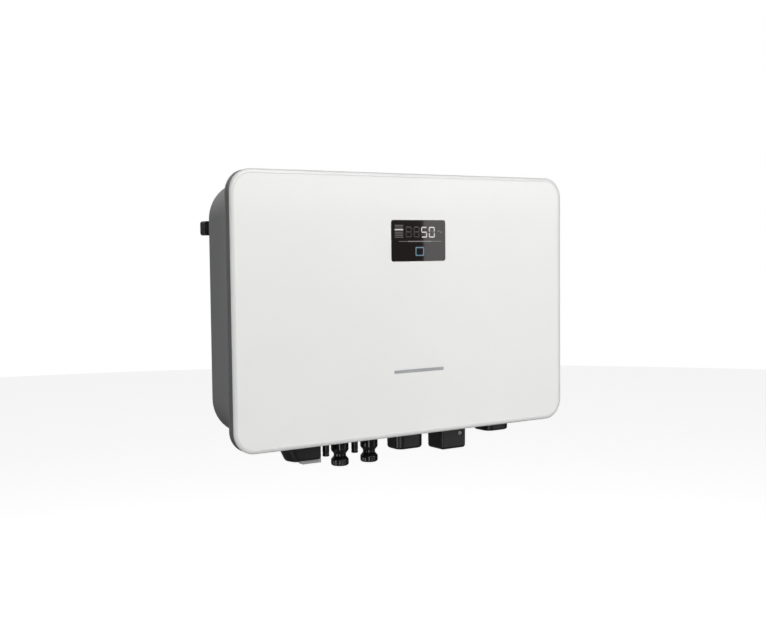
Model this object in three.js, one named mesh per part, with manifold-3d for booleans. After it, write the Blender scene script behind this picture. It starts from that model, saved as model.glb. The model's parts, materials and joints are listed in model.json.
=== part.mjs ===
// A residential string inverter that hangs on a wall rail.
// Units are millimetres and +Z is up. The front faces -Y and the wall is the plane y = 0.
// The origin is on the wall, at the middle of the wall rail.
import * as THREE from "three";
import { mergeVertices } from "three/addons/utils/BufferGeometryUtils.js";
import Module from "manifold-3d";

const wasm = await Module();
wasm.setup();

// Finishes: colour, roughness and metalness.
const WHITE_COAT = ["#eeeeec", 0.35, 0];
const DARK_COAT = ["#4b4c4d", 0.5, 0.3];
const CAST_GREY = ["#6a6b6c", 0.55, 0.4];
const BARE_ALUMINIUM = ["#a9abad", 0.45, 0.9];
const BLACK_STEEL = ["#26282a", 0.45, 0.5];
const BLACK_PLASTIC = ["#1b1c1d", 0.5, 0];
const GREY_PLASTIC = ["#b4b5b4", 0.45, 0];
const SMOKED_GLASS = ["#15110f", 0.08, 0];
const BADGE_GREY = ["#a7a8a9", 0.4, 0.3];
const STEEL = ["#c3c5c7", 0.3, 1];
const FOAM = ["#2b2b2b", 0.95, 0];
const BOARD_GREEN = ["#1f5a3a", 0.6, 0];
const COPPER = ["#a5602d", 0.4, 0.7];
const FERRITE = ["#3b3d3f", 0.8, 0];
const BRASS = ["#b89650", 0.35, 1];
const DIGIT_BLACK = ["#202020", 0.6, 0];
const SWITCH_RED = ["#7d2f24", 0.5, 0];
const THERMAL_GREY = ["#8f9aa3", 0.9, 0];
const MODULE_GREY = ["#303436", 0.5, 0];
const SLEEVE_BLUE = ["#22314a", 0.4, 0];
const RELAY_WHITE = ["#d8d9d6", 0.5, 0];
const SENSOR_BLACK = ["#2a2d30", 0.6, 0];
const HEADER_BLACK = ["#1e2022", 0.6, 0];

// Overall size.
const WIDTH = 410;
const HEIGHT = 270;
const DEPTH = 150;
const FRONT = -DEPTH;
const MID_Z = -82;
const CORNER_R = 22;
const GAP = 0.3;

// Front cover, a thin panel with a shallow bevel, and the pan that carries it.
const COVER_THICK = 1.5;
const COVER_BEVEL = 4;
const COVER_BEVEL_DEPTH = 0.9;
const PAN_HALF_W = WIDTH / 2 - 0.4;
const PAN_HALF_H = HEIGHT / 2 - 0.4;
const PAN_FRONT = FRONT + COVER_THICK + GAP;
const PAN_PLATE = 2;
const PAN_PLATE_BACK = PAN_FRONT + PAN_PLATE;
const SKIRT_WALL = 2;
const SKIRT_BACK = -141.4;

// Screws through the skirt, two along the top and two along the bottom: x and side.
const COVER_SCREWS = [
  [-120, 1],
  [120, 1],
  [-120, -1],
  [120, -1],
];
const COVER_SCREW = { y: -144, head: 1.9, headHeight: 1.1, shaft: 1.2, length: 5.5, hole: 1.5, seat: 1.4 };

// Rear housing: a cast tub that narrows from its flange to a flat back.
const FLANGE_FRONT = SKIRT_BACK + GAP;
const FLANGE_BACK = -138;
const TUB_FRONT = FLANGE_BACK - 1;
const TUB_BACK = -50;
const TUB_FRONT_HALF_W = 203.6;
const TUB_FRONT_HALF_H = 131;
const TUB_BACK_HALF_W = 182.2;
const TUB_BACK_HALF_H = 128.8;
const TUB_BACK_R = 38;
const TUB_BACK_DROP = 1.3;
const TUB_EDGE_R = 5;
const TUB_WALL = 3;
const TUB_FLOOR = 4;
const TUB_UNDERSIDE = MID_Z - TUB_FRONT_HALF_H;
const TUB_DEPTHS = [TUB_BACK, TUB_BACK - 1.2, TUB_BACK - TUB_EDGE_R, -75, -95, -115, -130, TUB_FRONT];
const POCKET_DEPTHS = [TUB_BACK - TUB_FLOOR, -75, -95, -115, -136];
const FLARE_POWER = 1.6;

// The collar in front of the flange, which the skirt covers, and the ledge for the gasket.
const COLLAR_HALF_W = PAN_HALF_W - SKIRT_WALL - GAP;
const COLLAR_HALF_H = PAN_HALF_H - SKIRT_WALL - GAP;
const COLLAR_FRONT = -145.4;
const COLLAR_R = 19;
const LEDGE_FRONT = -142;
const LEDGE_INSET = 3.5;
const LEDGE_R = 16;
const MOUTH_INSET = 7.5;
const MOUTH_R = 24;

// Display, behind its window in the cover.
const DISPLAY = { x: 8.8, z: MID_Z + 66.4, width: 68, height: 42, radius: 2.5 };
const DISPLAY_BOARD = { width: 80, height: 52, front: -143.2 };
const DISPLAY_POST = { x: 37, z: 23, radius: 2.5 };
const DIGITS = { width: 58, bottom: 2, top: 16 };
const TOUCH = { x: 10.1, z: MID_Z + 55.3, radius: 4.5 };
const BADGE = { x: 8.2, z: MID_Z - 68, width: 62, height: 3, thick: 0.4, seat: 0.7 };

// Wall rail, an upward-opening channel, and the hooks that drop into it.
const RAIL_HALF_W = 168;
const RAIL_HALF_H = 7.5;
const RAIL_DEPTH = 12;
const RAIL_WALL = 2.5;
const RAIL_CAP_LENGTH = 9;
const RAIL_CAP_R = 2.6;
const RAIL_HOLES = { x: [-140, -60, 60, 140], z: 1, radius: 3.2 };
const HOOK_X = 110;
const HOOK_WIDTH = 50;
const HOOK_THICK = 3;
const HOOK_TONGUE_FRONT = -7.5;
const HOOK_TONGUE_END = -4.2;
const HOOK_SCREW = { z: 17.5, head: 4.2, headBack: -11.6, shaft: 2.5, hole: 2.8, bite: 9 };

// Heat sink.
const SINK_HALF_W = 150;
const SINK_TOP = 24;
const SINK_BOTTOM = -187;
const SINK_BACK = -18;
const SINK_BASE = 4.7;
const SINK_PAD_BOTTOM = -10;
const FIN_PITCH = 10;
const FIN_THICK = 2;

// Pieces under the housing. UNDER_TOP is where they meet it and STUB_TOP where their stubs end inside.
const UNDER_TOP = TUB_UNDERSIDE - 0.4;
const STUB_TOP = TUB_UNDERSIDE + 16;
const PORT_Y = -90;
const BORE_R = 1.9;
const SLIM = { x: [-70.5, -35], stub: 5, flange: 7, flangeBottom: -218, shoulder: -222, tube: 3.6 };
const SLIM_TUBE = { top: -223.4, tip: -240.3, boreTop: -232 };
const THICK = { x: [-53.5, -16.8], stub: 6.5, collar: 8.4, barrel: 9.4, neck: 6.6, plug: 5.5 };
const THICK_AT = {
  collarBottom: -217,
  barrelTop: -218,
  barrelBottom: -235.2,
  neckTop: -238.6,
  neckBottom: -241.6,
};
const THICK_BORE = { tip: -249, top: -241 };
const DUST_CAP = { shoulder: -245, bottom: -251.4, edge: 1 };
const AC_COVER = { x: 29, y: -91, width: 35, depth: 28, radius: 6, edge: 2, bottom: -241.3 };
const COMMS_COVER = { x: 86.8, y: -90.7, width: 33.4, depth: 28.6, radius: 1.5, edge: 1.5, bottom: -247.3 };
const COMMS_SCREW = { x: 95.6, z: MID_Z - 148.4, radius: 2.6, front: -105, seat: 6, length: 5.5 };
const STUB_R = 8;
const ACCESSORY_CAP = { x: 151.4, y: -89.5, width: 34, depth: 31, radius: 8, edge: 2, bottom: -233 };
const ACCESSORY = { stub: 9, flange: 12, flangeBottom: -217, bottom: -227, capTop: -217.3 };
const VENT = { x: 119, y: -80, stub: 4, flange: 7, bottom: -219 };
const GROUND = { x: 57, y: -78, head: 5, headHeight: 4, shaft: 2, length: 10 };
const HOLE_PLAY = 0.6;

// DC switch: a guard that narrows downwards, a shaft through it and a lever below.
const SWITCH = { x: -106, y: -94 };
const SWITCH_BODY = { width: 38, depth: 28, top: -165, shaftTop: -190 };
const SHAFT_R = 3;
const SHAFT_HOLE_R = 3.3;
const GUARD = { left: -114.2, right: -84, halfDepth: 11, cornerR: 3, bottom: -239.8, edge: 1.5, slant: 0.5 };
const GUARD_SLANT_FROM = -229;
const KNOB = { radius: 9, height: 3 };
const LEVER = { left: -107.8, lowLeft: -102.4, right: -81, bottom: -244.4, halfDepth: 4 };

// Boards inside the housing.
const BOARD_THICK = 1.6;
const BOARD_BACK = -72.4;
const BOARD_FACE = BOARD_BACK - BOARD_THICK;
const BOARD_HALF_W = 155;
const BOARD_BOTTOM = -195;
const BOARD_TOP = 25;
const PART_BACK = BOARD_FACE - GAP;
const STANDOFF_AT = [
  [-145, -186],
  [145, -186],
  [-145, 16],
  [145, 16],
];
const STANDOFF_R = 3.5;
const MODULE = { left: -60, right: 40, bottom: -75, top: -25, pad: 1 };
const CAPACITORS = { x: [-60, -25, 10, 45], z: -2, radius: 15, length: 45 };
const CONTROL_BOARD = { halfWidth: 70, bottom: -138, top: -48, front: -128 };
const HEADER = { halfWidth: 50, bottom: -136, top: -130 };

// Wound parts: finish, outer and inner radius, length, and middle x and z.
const WOUND = {
  boost_inductor_1: [COPPER, 30, 13, 28, -112, -12],
  boost_inductor_2: [COPPER, 30, 13, 28, -112, -78],
  filter_inductor: [COPPER, 34, 14, 32, 106, -30],
  dc_choke: [FERRITE, 20, 9, 20, -95, -139],
  ac_choke: [FERRITE, 20, 9, 20, 45, -160],
};

// Boxed parts: finish, middle x and z, width, height and depth.
const BOXED = {
  transformer: [FERRITE, -20, -160, 36, 32, 30],
  grid_relay_1: [RELAY_WHITE, 88, -160, 26, 34, 24],
  grid_relay_2: [RELAY_WHITE, 122, -160, 26, 34, 24],
  current_sensor: [SENSOR_BLACK, 112, -100, 24, 20, 22],
};

const object = new THREE.Group();

// ---------- geometry helpers ----------

function toSolid(geometry) {
  const bare = geometry.clone();
  bare.deleteAttribute("normal");
  bare.deleteAttribute("uv");
  const merged = mergeVertices(bare, 1e-4);
  return new wasm.Manifold(
    new wasm.Mesh({
      numProp: 3,
      vertProperties: new Float32Array(merged.attributes.position.array),
      triVerts: new Uint32Array(merged.index.array),
    }),
  );
}

function toGeometry(solid) {
  const mesh = solid.getMesh();
  const geometry = new THREE.BufferGeometry();
  geometry.setAttribute("position", new THREE.BufferAttribute(mesh.vertProperties, 3));
  geometry.setIndex(new THREE.BufferAttribute(mesh.triVerts, 1));
  geometry.computeVertexNormals();
  return geometry;
}

function join(...geometries) {
  return toGeometry(geometries.map(toSolid).reduce((whole, piece) => whole.add(piece)));
}

function cut(base, ...tools) {
  return toGeometry(tools.map(toSolid).reduce((whole, tool) => whole.subtract(tool), toSolid(base)));
}

function roundedRect(width, height, radius) {
  const x = width / 2;
  const y = height / 2;
  const shape = new THREE.Shape();
  shape.absarc(x - radius, y - radius, radius, 0, Math.PI / 2);
  shape.absarc(radius - x, y - radius, radius, Math.PI / 2, Math.PI);
  shape.absarc(radius - x, radius - y, radius, Math.PI, 1.5 * Math.PI);
  shape.absarc(x - radius, radius - y, radius, 1.5 * Math.PI, 2 * Math.PI);
  shape.closePath();
  return shape;
}

function polygon(points) {
  return new THREE.Shape(points.map(([x, y]) => new THREE.Vector2(x, y)));
}

// A box between two opposite corners.
function box([x0, y0, z0], [x1, y1, z1]) {
  const geometry = new THREE.BoxGeometry(x1 - x0, y1 - y0, z1 - z0);
  return geometry.translate((x0 + x1) / 2, (y0 + y1) / 2, (z0 + z1) / 2);
}

// An outline seen from the front, with its thickness from y0 back to y1.
function upright(shape, y0, y1, segments = 4) {
  const options = { depth: y1 - y0, bevelEnabled: false, curveSegments: segments };
  return new THREE.ExtrudeGeometry(shape, options).rotateX(Math.PI / 2).translate(0, y1, 0);
}

// A moulded block seen from above: rounded upright corners and softened upper and lower edges.
function moulded({ x, y, width, depth, radius, edge, bottom }, top) {
  const options = {
    depth: top - bottom - 2 * edge,
    bevelThickness: edge,
    bevelSize: edge,
    bevelSegments: 2,
    curveSegments: 3,
  };
  const outline = roundedRect(width - 2 * edge, depth - 2 * edge, radius);
  return new THREE.ExtrudeGeometry(outline, options).translate(x, y, bottom + edge);
}

// A profile in the Y-Z plane, carried along X from x0 to x1.
function alongX(points, x0, x1) {
  const options = { depth: x1 - x0, bevelEnabled: false };
  const geometry = new THREE.ExtrudeGeometry(polygon(points), options);
  return geometry.rotateX(Math.PI / 2).rotateZ(Math.PI / 2).translate(x0, 0, 0);
}

function cylinderZ(radius, z0, z1, x, y, segments = 20) {
  const geometry = new THREE.CylinderGeometry(radius, radius, z1 - z0, segments);
  return geometry.rotateX(Math.PI / 2).translate(x, y, (z0 + z1) / 2);
}

function cylinderY(radius, y0, y1, x, z, segments = 20) {
  const geometry = new THREE.CylinderGeometry(radius, radius, y1 - y0, segments);
  return geometry.translate(x, (y0 + y1) / 2, z);
}

// A turned piece about a vertical axis. The profile is [radius, z] from the top down.
function turned(profile, x, y, segments = 16) {
  const points = profile.map(([radius, z]) => new THREE.Vector2(radius, z)).reverse();
  return new THREE.LatheGeometry(points, segments).rotateX(Math.PI / 2).translate(x, y, 0);
}

function add(name, geometry, [color, roughness, metalness]) {
  const mesh = new THREE.Mesh(geometry, new THREE.MeshStandardMaterial({ color, roughness, metalness }));
  mesh.name = name;
  object.add(mesh);
}

// ---------- wall rail ----------

function wallRail() {
  const h = RAIL_HALF_H;
  const profile = [
    [0, -h],
    [0, h],
    [-RAIL_WALL, h],
    [-RAIL_WALL, -h + RAIL_WALL],
    [-RAIL_DEPTH + RAIL_WALL, -h + RAIL_WALL],
    [-RAIL_DEPTH + RAIL_WALL, h],
    [-RAIL_DEPTH, h],
    [-RAIL_DEPTH, -h],
  ];
  const end = RAIL_HALF_W - RAIL_CAP_LENGTH;
  const holes = RAIL_HOLES.x.map((x) => cylinderY(RAIL_HOLES.radius, -RAIL_WALL - 1, 1, x, RAIL_HOLES.z, 12));
  add("wall_rail", cut(alongX(profile, -end, end), ...holes), BLACK_STEEL);
}

function railEndCap(name, side) {
  const inner = RAIL_HALF_W - RAIL_CAP_LENGTH + GAP;
  const outline = roundedRect(RAIL_CAP_LENGTH - GAP, 2 * RAIL_HALF_H, RAIL_CAP_R);
  const x = (side * (inner + RAIL_HALF_W)) / 2;
  const cap = upright(outline, -RAIL_DEPTH, -GAP, 4).translate(x, 0, 0);
  add(name, cap, BLACK_PLASTIC);
}

// ---------- hooks and heat sink ----------

function hangerHook(name, x) {
  const leg = RAIL_HALF_H + GAP;
  const plateFront = SINK_BACK + GAP;
  const plateBack = plateFront + HOOK_THICK;
  const tongueBack = HOOK_TONGUE_FRONT + HOOK_THICK;
  const profile = [
    [plateFront, leg],
    [HOOK_TONGUE_FRONT, leg],
    [HOOK_TONGUE_FRONT, HOOK_TONGUE_END],
    [tongueBack, HOOK_TONGUE_END],
    [tongueBack, leg + HOOK_THICK],
    [plateBack, leg + HOOK_THICK],
    [plateBack, SINK_TOP],
    [plateFront, SINK_TOP],
  ];
  const hook = alongX(profile, x - HOOK_WIDTH / 2, x + HOOK_WIDTH / 2);
  const hole = cylinderY(HOOK_SCREW.hole, plateFront - 1, plateBack + 1, x, HOOK_SCREW.z, 12);
  add(name, cut(hook, hole), STEEL);
}

function hookScrew(name, x) {
  const headFront = SINK_BACK + GAP + HOOK_THICK + GAP;
  const head = cylinderY(HOOK_SCREW.head, headFront, HOOK_SCREW.headBack, x, HOOK_SCREW.z, 12);
  const shaft = cylinderY(HOOK_SCREW.shaft, SINK_BACK - HOOK_SCREW.bite, headFront + 1, x, HOOK_SCREW.z, 12);
  add(name, join(head, shaft), STEEL);
}

function heatSink() {
  const baseFront = TUB_BACK + GAP;
  const baseBack = baseFront + SINK_BASE;
  const pieces = [box([-SINK_HALF_W, baseFront, SINK_BOTTOM], [SINK_HALF_W, baseBack, SINK_TOP])];
  for (let x = -SINK_HALF_W + FIN_PITCH / 2; x < SINK_HALF_W; x += FIN_PITCH) {
    const left = x - FIN_THICK / 2;
    pieces.push(box([left, baseBack - 1, SINK_BOTTOM], [left + FIN_THICK, SINK_BACK, SINK_TOP]));
  }
  const screwHoles = [];
  for (const x of [-HOOK_X, HOOK_X]) {
    const left = x - HOOK_WIDTH / 2;
    pieces.push(box([left, baseBack - 1, SINK_PAD_BOTTOM], [left + HOOK_WIDTH, SINK_BACK, SINK_TOP]));
    const bottom = SINK_BACK - HOOK_SCREW.bite - 1;
    screwHoles.push(cylinderY(HOOK_SCREW.hole, bottom, SINK_BACK + 1, x, HOOK_SCREW.z, 12));
  }
  add("heat_sink", cut(join(...pieces), ...screwHoles), BARE_ALUMINIUM);
}

// ---------- rear housing ----------

// Where the tub's outline stands at depth y: half sizes and how far it sits low.
function tubSection(y) {
  const t = (y - TUB_FRONT) / (TUB_BACK - TUB_FRONT);
  const taper = 1 - (1 - t) ** FLARE_POWER;
  const intoEdge = Math.max(0, y - (TUB_BACK - TUB_EDGE_R));
  const edge = TUB_EDGE_R - Math.sqrt(TUB_EDGE_R ** 2 - intoEdge ** 2);
  return {
    halfWidth: TUB_FRONT_HALF_W + taper * (TUB_BACK_HALF_W - TUB_FRONT_HALF_W) - edge,
    halfHeight: TUB_FRONT_HALF_H + taper * (TUB_BACK_HALF_H - TUB_FRONT_HALF_H) - edge,
    drop: taper * TUB_BACK_DROP,
  };
}

// A solid whose outline follows the tub at each depth, set in by the wall.
function tubLoft(depths, wall) {
  const last = depths.length - 1;
  const outline = roundedRect(2 * TUB_BACK_HALF_W, 2 * TUB_BACK_HALF_H, TUB_BACK_R);
  const options = { depth: last, steps: last, bevelEnabled: false, curveSegments: 4 };
  const geometry = new THREE.ExtrudeGeometry(outline, options);
  const position = geometry.attributes.position;
  for (let i = 0; i < position.count; i += 1) {
    const y = depths[Math.round(position.getZ(i))];
    const { halfWidth, halfHeight, drop } = tubSection(y);
    const x = (position.getX(i) * (halfWidth - wall)) / TUB_BACK_HALF_W;
    const z = (position.getY(i) * (halfHeight - wall)) / TUB_BACK_HALF_H;
    position.setXYZ(i, x, y, z + MID_Z - drop);
  }
  return geometry;
}

// A rounded slab of the panel's shape, from y0 back to y1.
function centredPlate(halfWidth, halfHeight, radius, y0, y1) {
  return upright(roundedRect(2 * halfWidth, 2 * halfHeight, radius), y0, y1).translate(0, 0, MID_Z);
}

// The same, set in from the collar's outline.
function collarPlate(inset, radius, y0, y1) {
  return centredPlate(COLLAR_HALF_W - inset, COLLAR_HALF_H - inset, radius, y0, y1);
}

function rearHousing() {
  const outside = tubLoft(TUB_DEPTHS, 0);
  const flange = centredPlate(PAN_HALF_W, PAN_HALF_H, CORNER_R, FLANGE_FRONT, FLANGE_BACK);
  const collar = collarPlate(0, COLLAR_R, COLLAR_FRONT, FLANGE_FRONT + 1);
  const pocket = tubLoft(POCKET_DEPTHS, TUB_WALL);
  const mouth = collarPlate(MOUTH_INSET, MOUTH_R, FRONT, -135);
  const ledge = collarPlate(LEDGE_INSET, LEDGE_R, FRONT, LEDGE_FRONT);
  const hole = (radius, x, y) => {
    return cylinderZ(radius + HOLE_PLAY, TUB_UNDERSIDE - 5, TUB_UNDERSIDE + 10, x, y, 12);
  };
  const holes = [
    hole(SHAFT_R, SWITCH.x, SWITCH.y),
    ...SLIM.x.map((x) => hole(SLIM.stub, x, PORT_Y)),
    ...THICK.x.map((x) => hole(THICK.stub, x, PORT_Y)),
    hole(STUB_R, AC_COVER.x, AC_COVER.y),
    hole(STUB_R, COMMS_COVER.x, COMMS_COVER.y),
    hole(ACCESSORY.stub, ACCESSORY_CAP.x, ACCESSORY_CAP.y),
    hole(VENT.stub, VENT.x, VENT.y),
    hole(GROUND.shaft, GROUND.x, GROUND.y),
    ...COVER_SCREWS.map(([x, side]) => {
      const edge = MID_Z + side * COLLAR_HALF_H;
      return cylinderZ(COVER_SCREW.hole, edge - 6, edge + 6, x, COVER_SCREW.y, 8);
    }),
  ];
  add("rear_housing", cut(join(outside, flange, collar), pocket, mouth, ledge, ...holes), CAST_GREY);
}

// ---------- front cover ----------

function coverPan() {
  const block = centredPlate(PAN_HALF_W, PAN_HALF_H, CORNER_R, PAN_FRONT, SKIRT_BACK);
  const innerW = PAN_HALF_W - SKIRT_WALL;
  const innerH = PAN_HALF_H - SKIRT_WALL;
  const inside = centredPlate(innerW, innerH, CORNER_R - SKIRT_WALL, PAN_PLATE_BACK, 0);
  const openingW = DISPLAY.width / 2 - 4;
  const openingH = DISPLAY.height / 2 - 4;
  const opening = box(
    [DISPLAY.x - openingW, FRONT, DISPLAY.z - openingH],
    [DISPLAY.x + openingW, SKIRT_BACK, DISPLAY.z + openingH],
  );
  const screwHoles = COVER_SCREWS.flatMap(([x, side]) => {
    const edge = MID_Z + side * PAN_HALF_H;
    const seat = edge - side * COVER_SCREW.seat;
    const beyond = edge + side;
    const seatR = COVER_SCREW.head + GAP;
    return [
      cylinderZ(COVER_SCREW.hole, edge - 4, edge + 4, x, COVER_SCREW.y, 8),
      cylinderZ(seatR, Math.min(seat, beyond), Math.max(seat, beyond), x, COVER_SCREW.y, 12),
    ];
  });
  const posts = [];
  for (const sx of [-1, 1]) {
    for (const sz of [-1, 1]) {
      const x = DISPLAY.x + sx * DISPLAY_POST.x;
      const z = DISPLAY.z + sz * DISPLAY_POST.z;
      posts.push(cylinderY(DISPLAY_POST.radius, PAN_PLATE_BACK - 1, DISPLAY_BOARD.front - GAP, x, z, 10));
    }
  }
  add("cover_pan", join(cut(block, inside, opening, ...screwHoles), ...posts), DARK_COAT);
}

function coverScrew(name, [x, side]) {
  const edge = MID_Z + side * PAN_HALF_H;
  const headIn = edge - side * COVER_SCREW.headHeight;
  const tip = edge - side * COVER_SCREW.length;
  const { head: headR, shaft: shaftR, y } = COVER_SCREW;
  const head = cylinderZ(headR, Math.min(edge, headIn), Math.max(edge, headIn), x, y, 12);
  const shaft = cylinderZ(shaftR, Math.min(edge, tip), Math.max(edge, tip), x, y, 8);
  add(name, join(head, shaft), STEEL);
}

function coverGasket() {
  const y0 = PAN_PLATE_BACK + GAP;
  const y1 = LEDGE_FRONT - GAP;
  const outer = collarPlate(LEDGE_INSET + GAP, LEDGE_R, y0, y1);
  const inner = collarPlate(MOUTH_INSET, LEDGE_R, y0 - 1, y1 + 1);
  add("cover_gasket", cut(outer, inner), FOAM);
}

function frontCover() {
  const outline = roundedRect(WIDTH - 2 * COVER_BEVEL, HEIGHT - 2 * COVER_BEVEL, CORNER_R - COVER_BEVEL);
  const options = {
    depth: COVER_THICK,
    bevelThickness: COVER_BEVEL_DEPTH,
    bevelSize: COVER_BEVEL,
    bevelSegments: 2,
    curveSegments: 5,
  };
  const block = new THREE.ExtrudeGeometry(outline, options);
  block.rotateX(Math.PI / 2).translate(0, FRONT + COVER_BEVEL_DEPTH + COVER_THICK, MID_Z);
  const behind = box([-WIDTH, FRONT + COVER_THICK, MID_Z - HEIGHT], [WIDTH, 0, MID_Z + HEIGHT]);
  const window = roundedRect(DISPLAY.width + 2 * GAP, DISPLAY.height + 2 * GAP, DISPLAY.radius + GAP);
  const windowHole = upright(window, FRONT - 1, 0, 3).translate(DISPLAY.x, 0, DISPLAY.z);
  const halfW = BADGE.width / 2 + GAP;
  const halfH = BADGE.height / 2 + GAP;
  const badgeSeat = box(
    [BADGE.x - halfW, FRONT - 1, BADGE.z - halfH],
    [BADGE.x + halfW, FRONT + BADGE.seat, BADGE.z + halfH],
  );
  add("front_cover", cut(block, behind, windowHole, badgeSeat), WHITE_COAT);
}

function display() {
  const outline = roundedRect(DISPLAY.width, DISPLAY.height, DISPLAY.radius);
  const glass = upright(outline, FRONT + 0.1, PAN_FRONT - GAP, 3).translate(DISPLAY.x, 0, DISPLAY.z);
  add("display_window", glass, SMOKED_GLASS);

  const badge = box(
    [BADGE.x - BADGE.width / 2, FRONT, BADGE.z - BADGE.height / 2],
    [BADGE.x + BADGE.width / 2, FRONT + BADGE.thick, BADGE.z + BADGE.height / 2],
  );
  add("badge_bar", badge, BADGE_GREY);

  const digitsBack = DISPLAY_BOARD.front - GAP;
  const digits = box(
    [DISPLAY.x - DIGITS.width / 2, PAN_FRONT, DISPLAY.z + DIGITS.bottom],
    [DISPLAY.x + DIGITS.width / 2, digitsBack, DISPLAY.z + DIGITS.top],
  );
  add("digit_block", digits, DIGIT_BLACK);
  add("touch_sensor", cylinderY(TOUCH.radius, PAN_FRONT, digitsBack, TOUCH.x, TOUCH.z, 16), COPPER);

  const { width, height, front } = DISPLAY_BOARD;
  const board = box(
    [DISPLAY.x - width / 2, front, DISPLAY.z - height / 2],
    [DISPLAY.x + width / 2, front + BOARD_THICK, DISPLAY.z + height / 2],
  );
  add("display_board", board, BOARD_GREEN);
}

// ---------- pieces under the housing ----------

// The round stub by which a cover passes into the housing.
function stub({ x, y }) {
  return cylinderZ(STUB_R, UNDER_TOP - 1, STUB_TOP, x, y, 16);
}

function acCover() {
  add("ac_connector_cover", join(moulded(AC_COVER, UNDER_TOP), stub(AC_COVER)), BLACK_PLASTIC);
}

function commsCover() {
  const { x, z, radius, front, seat, length } = COMMS_SCREW;
  const shell = join(moulded(COMMS_COVER, UNDER_TOP), stub(COMMS_COVER));
  add("comms_cover", cut(shell, cylinderY(radius + GAP, front - 5, front + seat, x, z, 14)), BLACK_PLASTIC);
  add("comms_cover_screw", cylinderY(radius, front, front + length, x, z, 14), STEEL);
}

function accessoryPort() {
  const { x, y } = ACCESSORY_CAP;
  const profile = [
    [0, STUB_TOP],
    [ACCESSORY.stub, STUB_TOP],
    [ACCESSORY.stub, UNDER_TOP],
    [ACCESSORY.flange, UNDER_TOP],
    [ACCESSORY.flange, ACCESSORY.flangeBottom],
    [ACCESSORY.stub, ACCESSORY.flangeBottom],
    [ACCESSORY.stub, ACCESSORY.bottom],
    [0, ACCESSORY.bottom],
  ];
  add("accessory_socket", turned(profile, x, y), BLACK_PLASTIC);
  const bore = cylinderZ(ACCESSORY.stub + GAP, ACCESSORY.bottom - GAP, ACCESSORY.capTop + 1, x, y);
  add("accessory_port_cap", cut(moulded(ACCESSORY_CAP, ACCESSORY.capTop), bore), BLACK_PLASTIC);
}

function ventAndGround() {
  const profile = [
    [0, STUB_TOP],
    [VENT.stub, STUB_TOP],
    [VENT.stub, UNDER_TOP],
    [VENT.flange, UNDER_TOP],
    [VENT.flange, VENT.bottom + 1.5],
    [VENT.flange - 1.5, VENT.bottom],
    [0, VENT.bottom],
  ];
  add("breather_valve", turned(profile, VENT.x, VENT.y), BLACK_PLASTIC);
  const head = cylinderZ(GROUND.head, UNDER_TOP - GROUND.headHeight, UNDER_TOP, GROUND.x, GROUND.y, 6);
  const shaft = cylinderZ(GROUND.shaft, UNDER_TOP - 1, UNDER_TOP + GROUND.length, GROUND.x, GROUND.y, 12);
  add("ground_screw", join(head, shaft), STEEL);
}

function slimPort(name, x) {
  const profile = [
    [0, STUB_TOP],
    [SLIM.stub, STUB_TOP],
    [SLIM.stub, UNDER_TOP],
    [SLIM.flange, UNDER_TOP],
    [SLIM.flange, SLIM.flangeBottom],
    [SLIM.stub, SLIM.flangeBottom],
    [SLIM.stub, SLIM.shoulder],
    [SLIM.tube, SLIM_TUBE.top],
    [SLIM.tube, SLIM_TUBE.tip],
    [BORE_R, SLIM_TUBE.tip],
    [BORE_R, SLIM_TUBE.boreTop],
    [0, SLIM_TUBE.boreTop],
  ];
  add(name, turned(profile, x, PORT_Y), BLACK_PLASTIC);
}

function thickPort(name, x) {
  const profile = [
    [0, STUB_TOP],
    [THICK.stub, STUB_TOP],
    [THICK.stub, UNDER_TOP],
    [THICK.collar, UNDER_TOP],
    [THICK.collar, THICK_AT.collarBottom],
    [THICK.barrel, THICK_AT.barrelTop],
    [THICK.barrel, THICK_AT.barrelBottom],
    [THICK.neck, THICK_AT.neckTop],
    [THICK.neck, THICK_AT.neckBottom],
    [THICK.plug, THICK_AT.neckBottom],
    [THICK.plug, THICK_BORE.tip],
    [BORE_R, THICK_BORE.tip],
    [BORE_R, THICK_BORE.top],
    [0, THICK_BORE.top],
  ];
  add(name, turned(profile, x, PORT_Y), BLACK_PLASTIC);
}

function dustCap(name, x) {
  const bore = THICK.plug + GAP;
  const top = THICK_AT.neckBottom - GAP;
  const profile = [
    [0, THICK_BORE.tip - GAP],
    [bore, THICK_BORE.tip - GAP],
    [bore, top],
    [THICK.neck + 0.4, top],
    [THICK.barrel, DUST_CAP.shoulder],
    [THICK.barrel, DUST_CAP.bottom + DUST_CAP.edge],
    [THICK.barrel - DUST_CAP.edge, DUST_CAP.bottom],
    [0, DUST_CAP.bottom],
  ];
  add(name, turned(profile, x, PORT_Y), BLACK_PLASTIC);
}

// The guard's outline from above: round at the left end and square with small corners at the right.
function guardOutline() {
  const { left, right, halfDepth, cornerR, edge } = GUARD;
  const r = cornerR - edge;
  const x = right - cornerR;
  const y = halfDepth - cornerR;
  const shape = new THREE.Shape();
  shape.absarc(x, y, r, 0, Math.PI / 2);
  shape.absarc(left, 0, halfDepth - edge, Math.PI / 2, 1.5 * Math.PI);
  shape.absarc(x, -y, r, 1.5 * Math.PI, 2 * Math.PI);
  shape.closePath();
  return shape;
}

// How far the guard's left end stands in at height z.
function guardShift(z) {
  return (GUARD_SLANT_FROM - z) * GUARD.slant;
}

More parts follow.
